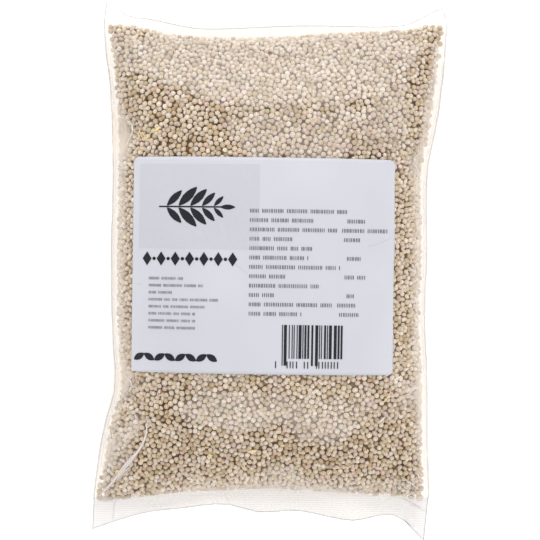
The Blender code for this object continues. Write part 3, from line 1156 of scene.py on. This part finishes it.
def model_flake():
    """One flake lying flat, its middle at the origin and its length along X."""
    piece = start_from(
        bpy.ops.mesh.primitive_circle_add, vertices=12, radius=0.5, fill_type="TRIFAN"
    )
    edit(piece)
    bpy.ops.mesh.extrude_region_move(TRANSFORM_OT_translate={"value": (0, 0, FLAKE_THICKNESS)})
    close_up()
    bpy.ops.mesh.quads_convert_to_tris()
    done()
    points = points_of(piece)
    along = 2 * points[:, 1]
    across = points[:, 0] * (1 - FLAKE_PINCH * along**2)
    height = points[:, 2] - FLAKE_CURL * along**2
    set_points(piece, np.stack([along * FLAKE_LENGTH / 2, across * FLAKE_WIDTH, height], 1))
    return piece


def model_stalk():
    """One end of stalk lying flat, slightly bent, its length along X."""
    piece = start_from(
        bpy.ops.mesh.primitive_cylinder_add, vertices=6, radius=STALK_RADIUS, depth=STALK_LENGTH
    )
    edit(piece)
    bpy.ops.mesh.select_mode(type="FACE")
    bpy.ops.mesh.subdivide(number_cuts=3)
    bpy.ops.mesh.quads_convert_to_tris()
    done()
    points = points_of(piece)
    along = 2 * points[:, 2] / STALK_LENGTH
    side = points[:, 0] * (1 - STALK_TAPER * along) + STALK_BEND * along**2
    set_points(piece, np.stack([points[:, 2], side, points[:, 1]], 1))
    return piece


flake, stalk = model_flake(), model_stalk()
print("a flake has", len(flake.data.polygons), "triangles, and a stalk", len(stalk.data.polygons))

# %% Lay them against the film
BIT_DEPTH = 0.00030  # under the film's outer face
# Each bit: its place in mm, the way it points in degrees, and its size against the mould.
YELLOW_FLAKES = (
    (-41.9, 52.4, 30, 0.95), (-49.0, 50.0, -50, 0.55), (-22.2, -69.2, -30, 0.70),
    (-6.5, -67.8, 8, 1.30), (-57.3, -75.8, 12, 0.80), (44.2, -65.8, 70, 0.60),
    (4.8, -65.6, 20, 0.60), (24.6, -60.2, 80, 0.50), (-37.0, -49.0, 15, 0.60),
)
STALKS = (
    (-48.4, 50.6, -48, 1.05), (-46.6, 49.4, -40, 1.00), (-45.0, 50.2, 42, 1.15),
    (43.9, -47.2, 55, 1.15), (15.0, 60.0, 20, 0.60),
)
RED_FLAKES = ((31.8, -50.4, -60, 0.60), (-40.8, -45.4, 40, 0.90))
BROWN_STALKS = ((-29.9, -62.9, -78, 1.45), (31.0, -47.0, 60, 0.8), (36.5, -52.5, 2, 1.0))


def bit_matrices(bits):
    """For each bit, a matrix that lays it against the inside of the film."""
    made = []
    for x, y, way, size in bits:
        spot, normal, _, _ = film_tree.ray_cast((x * MM, y * MM, 1), (0, 0, -1))
        upright = normal.to_track_quat("Z", "Y").to_matrix().to_4x4()
        lie = Vector((math.cos(math.radians(way)), math.sin(math.radians(way)), 0))
        local = upright.inverted() @ lie
        spin = Matrix.Rotation(math.atan2(local.y, local.x), 4, "Z")
        place = Matrix.Translation(spot - normal * BIT_DEPTH)
        made.append(np.array(place @ upright @ spin @ Matrix.Scale(size, 4)))
    return np.array(made)


# Dry plant husk: papery, matt, streaked along its fibres.
FIBRE = 0.0004
straw_yellow, husk_red, husk_brown = (
    two_toned(f"dry quinoa {name}", "TexNoise", FIBRE, tones, {"Roughness": 0.7})[0]
    for name, tones in (
        ("husk, straw yellow", ("#fbe9b4", "#e3c47c")),
        ("husk, red brown", ("#b0765c", "#8a5238")),
        ("stalk, brown", ("#cfa98c", "#9c7455")),
    )
)
bits = []
for name, mould, spots, finish in (
    ("husk_flakes", flake, YELLOW_FLAKES, straw_yellow),
    ("husk_stalks", stalk, STALKS, straw_yellow),
    ("husk_red", flake, RED_FLAKES, husk_red),
    ("husk_brown", stalk, BROWN_STALKS, husk_brown),
):
    bits.append(strewn(name, mould, bit_matrices(spots)))
    bits[-1].data.materials.append(finish)
print(sum(len(b.data.polygons) for b in bits), "triangles of husk and stalk")

# %% [markdown]
# ## The label
#
# The label is a sheet of coated paper with round corners, stuck on the film. Its form comes from
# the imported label, rounded by subdivision. A few faint creases are made like the film's pleats.

# %% Label
label = copy_of("label", "paper_label")
hold_rim(label)
apply_modifier(label, "SUBSURF", levels=2, render_levels=2)

# Coated label paper: a cool, even white with the faint unevenness of a stuck sheet.
PAPER_CLOUD, PAPER_FIBRE = 0.03, 0.004
paper, paper_nodes, sheet = two_toned(
    "coated label paper", "TexNoise", PAPER_CLOUD, ("#bebec6", "#c8c8d0"),
    {"Base Color": linear("#c0c0c8"), "Roughness": 0.55, "IOR": 1.45},
)
fibres = add_node(
    paper_nodes, "TexNoise", None, {"Scale": 1 / PAPER_FIBRE, "Detail": 4.0},
    {"Vector": add_node(paper_nodes, "TexCoord").outputs["Object"]},
)
relief = add_node(
    paper_nodes, "Bump", None, {"Strength": 0.35, "Distance": 0.0002}, {"Height": fibres}
)
paper_nodes.links.new(relief.outputs["Normal"], sheet.inputs["Normal"])
label.data.materials.append(paper)
paper_tree = tree_of(label)

# %% Creases in the paper
PAPER_CREASES = (
    (0.8, 0.12, ((-15.3, 18.8), (-17.6, 17.4), (-18.3, 15.6), (-16.6, 13.6), (-15.0, 12.2))),
    (0.7, 0.10, ((-13.6, 3.4), (-12.2, 1.8), (-10.2, 0.4), (-8.4, -1.4))),
    (1.2, 0.12, ((36.0, 8.6), (39.8, 10.0), (45.2, 12.4))),
    (0.8, 0.10, ((-50.2, -4.4), (-48.9, -5.2), (-47.6, -4.8))),
)
creases = raise_pleats("paper_creases", paper_tree, PAPER_CREASES)
creases.data.materials.append(paper)

# %% [markdown]
# ## The printing on the label
#
# The label is printed in charcoal: a sprig on a pale field, a border of diamonds, a vine, a band of
# bars, and rows of fine dashes. Each shape is modelled once, flat, a few hundredths of a millimetre
# thick. Its copies are laid out on a flat sheet in millimetres from the label's middle, and the
# whole sheet is then turned with the label and pressed onto the paper, point by point, by casting
# rays down at it. A texture would be blurred by the render's own pixels, and modelled edges aren't.

# %% Shapes to print with
INK_LIFT = 0.00013
INK_SINK = 0.00003
LABEL_TURN = math.radians(-0.8)
label_middle = (label_low + label_high) / 2


def finish_mould(piece, name):
    """Gives a flat shape its thickness, and leaves it as triangles under its new name."""
    edit(piece)
    down = (0, 0, -INK_LIFT - INK_SINK)
    bpy.ops.transform.translate(value=(0, 0, INK_LIFT))
    bpy.ops.mesh.extrude_region_move(TRANSFORM_OT_translate={"value": down})
    close_up()
    bpy.ops.mesh.quads_convert_to_tris()
    done()
    piece.name = name
    return piece


def round_mould(name, sides, height=1.0, pinch=0.0):
    """A disc 1 wide, so high, with its left and right ends pinched to points."""
    piece = start_from(
        bpy.ops.mesh.primitive_circle_add, vertices=sides, radius=0.5, fill_type="TRIFAN"
    )
    points = points_of(piece)
    points[:, :2] = np.stack([-points[:, 1], points[:, 0]], 1)
    points[:, 1] *= height * (1 - pinch * (2 * np.abs(points[:, 0])) ** 2)
    set_points(piece, points)
    return finish_mould(piece, name)


def square_mould(name, cuts, corner=0.0):
    """A square 1 wide, cut across its height so that it can bend, or with its corners cut off."""
    piece = start_from(
        bpy.ops.mesh.primitive_grid_add, x_subdivisions=cuts[0], y_subdivisions=cuts[1], size=1
    )
    if corner:
        edit(piece)
        bpy.ops.mesh.bevel(affect="VERTICES", offset=corner, segments=1)
        done()
    return finish_mould(piece, name)


dot = round_mould("dot_mould", 12)
diamond = round_mould("diamond_mould", 4)
leaf = round_mould("leaf_mould", 14, height=0.34, pinch=0.5)
block = square_mould("block_mould", (1, 1), corner=0.16)
bar = square_mould("bar_mould", (1, 12))
field = square_mould("field_mould", (30, 24))
print("a leaf has", len(leaf.data.polygons), "triangles, and a block", len(block.data.polygons))


# %% Lay the shapes out and press them on
def laid(middle, size, turn=0.0):
    """A matrix that puts a shape at a place on the sheet, in millimetres, so big and so turned."""
    place = Matrix.Translation((middle[0] * MM, middle[1] * MM, 0))
    grown = Matrix.Diagonal((size[0] * MM, size[1] * MM, 1, 1))
    return np.array(place @ Matrix.Rotation(math.radians(turn), 4, "Z") @ grown)


def press_on(piece, surface, extra=0.0):
    """Turns a flat sheet of shapes with the label, and presses it onto the surface."""
    points = points_of(piece)
    c, s = math.cos(LABEL_TURN), math.sin(LABEL_TURN)
    for i, (x, y, z) in enumerate(points):
        px = label_middle.x + c * x - s * y
        py = label_middle.y + s * x + c * y
        paper = surface.ray_cast((px, py, 1), (0, 0, -1))[0]
        points[i] = (px, py, paper.z + z + (extra if z > 0 else 0))
    set_points(piece, points)


def printed(name, mould, matrices, ink, extra=0.0):
    """One piece of print: copies of a mould, in one ink, pressed onto the label."""
    piece = strewn(name, mould, np.array(matrices))
    press_on(piece, paper_tree, extra)
    piece.data.materials.append(ink)
    for polygon in piece.data.polygons:
        polygon.use_smooth = False
    print(name, len(matrices), "shapes")
    return piece


# Dry ink on coated paper: half matt, with the paper's cloud showing through.
INK_MOTTLE = 0.0015
charcoal, grey, tint = (
    two_toned(name, "TexNoise", INK_MOTTLE, tones, {"Roughness": 0.6, "Specular IOR Level": 0.15})[0]
    for name, tones in (
        ("charcoal printing ink", ("#1c1c23", "#292930")),
        ("grey printing ink", ("#4a4a52", "#5c5c64")),
        ("pale tint printed on paper", ("#babac2", "#c0c0c8")),
    )
)

# %% The field and the sprig
FIELD = ((-23.8, 21.6), (44.6, 31.4))
FIELD_SINK = -0.00008  # so that the sprig stays above it
SPRIG_ROOT, SPRIG_TIP, SPRIG_LINE = -38.6, -12.2, 21.4
SPRIG_PAIRS = 5
LEAF_LENGTH, LEAF_ANGLE = 10.0, 46.0
TIP_LEAF, TIP_OVERLAP = 5.6, 1.0
STEM_WIDTH, STEM_GAP = 0.55, 0.5
FIRST_PAIR, PAIR_PITCH = 2.6, 4.35
LEAF_TAPER, LONGEST = 0.36, 0.6  # how much shorter the leaves get, away from the longest pair
prints = [printed("print_field", field, [laid(*FIELD)], tint, FIELD_SINK)]

sprig = [laid((SPRIG_TIP - TIP_OVERLAP, SPRIG_LINE), (TIP_LEAF, TIP_LEAF))]
for pair in range(SPRIG_PAIRS):
    along = pair / (SPRIG_PAIRS - 1)
    root = SPRIG_ROOT + FIRST_PAIR + PAIR_PITCH * pair
    length = LEAF_LENGTH * (1 - LEAF_TAPER * abs(2 * along - LONGEST))
    reach = length / 2 + STEM_GAP
    for side in (-1, 1):
        lean = side * math.radians(LEAF_ANGLE)
        middle = (root + reach * math.cos(lean), SPRIG_LINE + reach * math.sin(lean))
        sprig.append(laid(middle, (length, length), side * LEAF_ANGLE))
stem_middle = (SPRIG_ROOT + SPRIG_TIP) / 2
stem = laid((stem_middle, SPRIG_LINE), (STEM_WIDTH, SPRIG_TIP - SPRIG_ROOT), 90)
prints.append(printed("print_sprig", leaf, sprig, charcoal))
prints.append(printed("print_stem", bar, [stem], charcoal))

# %% The border and the vine
BORDER_LINE, BORDER_LEFT, BORDER_PITCH, BORDER_COUNT = 2.2, -42.9, 5.3, 7
VINE_LINE, VINE_LEFT, VINE_PITCH, VINE_COUNT = -34.2, -45.6, 3.9, 8
DIAMOND_SIZE, DOT_SIZE = (3.4, 5.2), (1.3, 1.3)
VINE_LEAF, VINE_ANGLE = (4.6, 7.2), 32
diamonds = [
    laid((BORDER_LEFT + BORDER_PITCH * k, BORDER_LINE), DIAMOND_SIZE) for k in range(BORDER_COUNT)
]
dots = [
    laid((BORDER_LEFT + BORDER_PITCH * (k + 0.5), BORDER_LINE), DOT_SIZE)
    for k in range(BORDER_COUNT - 1)
]
vine = [
    laid((VINE_LEFT + VINE_PITCH * k, VINE_LINE), VINE_LEAF, VINE_ANGLE * (-1) ** k)
    for k in range(VINE_COUNT)
]
prints.append(printed("print_diamonds", diamond, diamonds, charcoal))
prints.append(printed("print_dots", dot, dots, charcoal))
prints.append(printed("print_vine", leaf, vine, charcoal))

# %% Rows of fine dashes
# Each row: left end, right end and line, in mm from the label's middle.
SMALL_LEFT, SMALL_TOP, SMALL_PITCH, SMALL_HEIGHT = -42.0, -5.1, -2.6, 1.0
SMALL_ENDS = (-28.5, -22.1, -33.3, -16.2, -21.0, -24.7, -24.7, -24.7)
LARGE_LEFT, LARGE_TOP, LARGE_PITCH, LARGE_HEIGHT = -4.8, 20.2, -3.44, 1.45
LARGE_ENDS = (31.1, 18.4, 27.3, 10.6, 18.0, 16.9, 28.8, 8.4, 21.0, 5.0, 25.9, 14.3)
VALUE_ENDS = {1: (31.1, 37.4), 2: (29.2, 46.6), 3: (29.9, 35.9), 5: (31.1, 35.9), 7: (30.3, 37.8),
              9: (31.1, 34.0), 10: (27.7, 34.8), 11: (28.5, 35.9)}
rows = [
    (SMALL_LEFT, end, SMALL_TOP + SMALL_PITCH * k, SMALL_HEIGHT) for k, end in enumerate(SMALL_ENDS)
]
rows += [
    (LARGE_LEFT, end, LARGE_TOP + LARGE_PITCH * k, LARGE_HEIGHT) for k, end in enumerate(LARGE_ENDS)
]
rows += [
    (left, end, LARGE_TOP + LARGE_PITCH * k, LARGE_HEIGHT) for k, (left, end) in VALUE_ENDS.items()
]

DASH = 0.15  # how wide a dash is against the height of its row
DASH_PITCH, GROUP_PITCH = (0.34, 0.52), 1.1  # from dash to dash, and from group to group
FIRST_GROUP, NEXT_GROUP = (6, 18), (5, 18)  # how many dashes, with the last number left out


def row_marks(left, right, line, height):
    """Plain upright dashes, all alike, in groups from left to right."""
    made = []
    here = left
    marks = chance.integers(*FIRST_GROUP)
    while here < right:
        made.append(laid((here, line), (DASH * height, height)))
        marks -= 1
        here += height * (chance.uniform(*DASH_PITCH) if marks else GROUP_PITCH)
        if not marks:
            marks = chance.integers(*NEXT_GROUP)
    return made


small_rows = [made for row in rows[: len(SMALL_ENDS)] for made in row_marks(*row)]
large_rows = [made for row in rows[len(SMALL_ENDS) :] for made in row_marks(*row)]
prints.append(printed("print_small_rows", block, small_rows, grey))
prints.append(printed("print_large_rows", block, large_rows, charcoal))

# %% The bars
BARS_LEFT, BARS_RIGHT, BARS_TOP, BARS_FOOT = 7.4, 30.4, -21.6, -34.0
THIN_BAR = 0.36
LONG_BARS = (BARS_LEFT, (BARS_LEFT + BARS_RIGHT) / 2, BARS_RIGHT)
UNDER_BARS = (5.2, 29.8, -36.3, 2.6)
LONGER, LONG_REACH, LONG_CLEARANCE = 2.6, 0.9, 1.1


def from_long_bar(place):
    """How far a place along the band is from the nearest of the long bars."""
    return min(abs(place - x) for x in LONG_BARS)


bars = []
here = BARS_LEFT
while here < BARS_RIGHT:
    wide = THIN_BAR * chance.integers(1, 4)
    foot = BARS_FOOT - (LONGER if from_long_bar(here) < LONG_REACH else 0.0)
    bars.append(laid((here + wide / 2, (BARS_TOP + foot) / 2), (wide, BARS_TOP - foot)))
    here += wide + THIN_BAR * chance.integers(1, 3)
prints.append(printed("print_bars", bar, bars, charcoal))
under = [
    made for made in row_marks(*UNDER_BARS) if from_long_bar(made[0, 3] / MM) > LONG_CLEARANCE
]
prints.append(printed("print_under_bars", block, under, charcoal))

# %% [markdown]
# ## The stage
#
# The floor is a light table, a white board that glows a little, so that no shadow is left round the
# bag and the clear film stays clear. The light is soft: a wide lamp beyond the top end of the bag
# gives the veil on the film there, a smaller one beyond the bottom end lights the seeds below the
# label, two lamps at the sides open the shadows, and one overhead lights the label evenly.

# %% Floor
FLOOR_SIZE = 8.0
FLOOR_HEIGHT = -0.0001  # a hair under the film, so that no two faces share a plane
floor = start_from(
    bpy.ops.mesh.primitive_plane_add, size=FLOOR_SIZE, location=(0, 0, FLOOR_HEIGHT)
)
floor.name = "floor"
# The matt white glass of a light table, lit a little from below.
glass, glass_nodes, glass_surface = new_material("matt white glass of a light table")
board = add_node(
    glass_nodes, "BsdfPrincipled", None,
    {"Base Color": linear("#fbfbfb"), "Roughness": 0.9, "Specular IOR Level": 0.1,
     "Emission Color": linear("#ffffff"), "Emission Strength": 0.25},
)
glass_nodes.links.new(board.outputs["BSDF"], glass_surface)
floor.data.materials.append(glass)

# %% Lamps
LAMPS = {
    "beyond_top": ((0.05, 1.0, 0.36), (1.3, 0.84), 9.2),
    "beyond_bottom": ((0.22, -0.8, 0.9), (1.0, 0.6), 5.1),
    "left": ((-1.0, 0.0, 0.4), (1.2, 0.6), 3.0),
    "right": ((1.0, -0.2, 0.4), (1.2, 0.6), 2.6),
    "overhead": ((0.0, 0.0, 1.9), (1.4, 1.4), 9.0),
}
for name, (place, size, power) in LAMPS.items():
    lamp_data = bpy.data.lights.new(name, "AREA")
    lamp_data.shape = "RECTANGLE"
    lamp_data.size, lamp_data.size_y = size
    lamp_data.energy = power
    lamp = bpy.data.objects.new(name, lamp_data)
    lamp.location = place
    lamp.rotation_euler = (-Vector(place)).to_track_quat("-Z", "Y").to_euler()
    scene.collection.objects.link(lamp)

world = bpy.data.worlds.new("studio")
world.use_nodes = True
world.node_tree.nodes["Background"].inputs["Color"].default_value = linear("#ffffff")
world.node_tree.nodes["Background"].inputs["Strength"].default_value = 0.5
scene.world = world
scene.view_settings.view_transform = "Standard"

# %% Hand the pieces to the frame
for mould in (seed, bed, flake, stalk, dot, diamond, leaf, block, bar, field):
    bpy.data.objects.remove(mould)
for piece in (film, edge_line, pleats, core, *seed_pieces, *bits):
    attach(piece, "root")
    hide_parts("quinoa_bag")
for piece in (label, creases, *prints):
    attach(piece, "root")
    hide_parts("label")
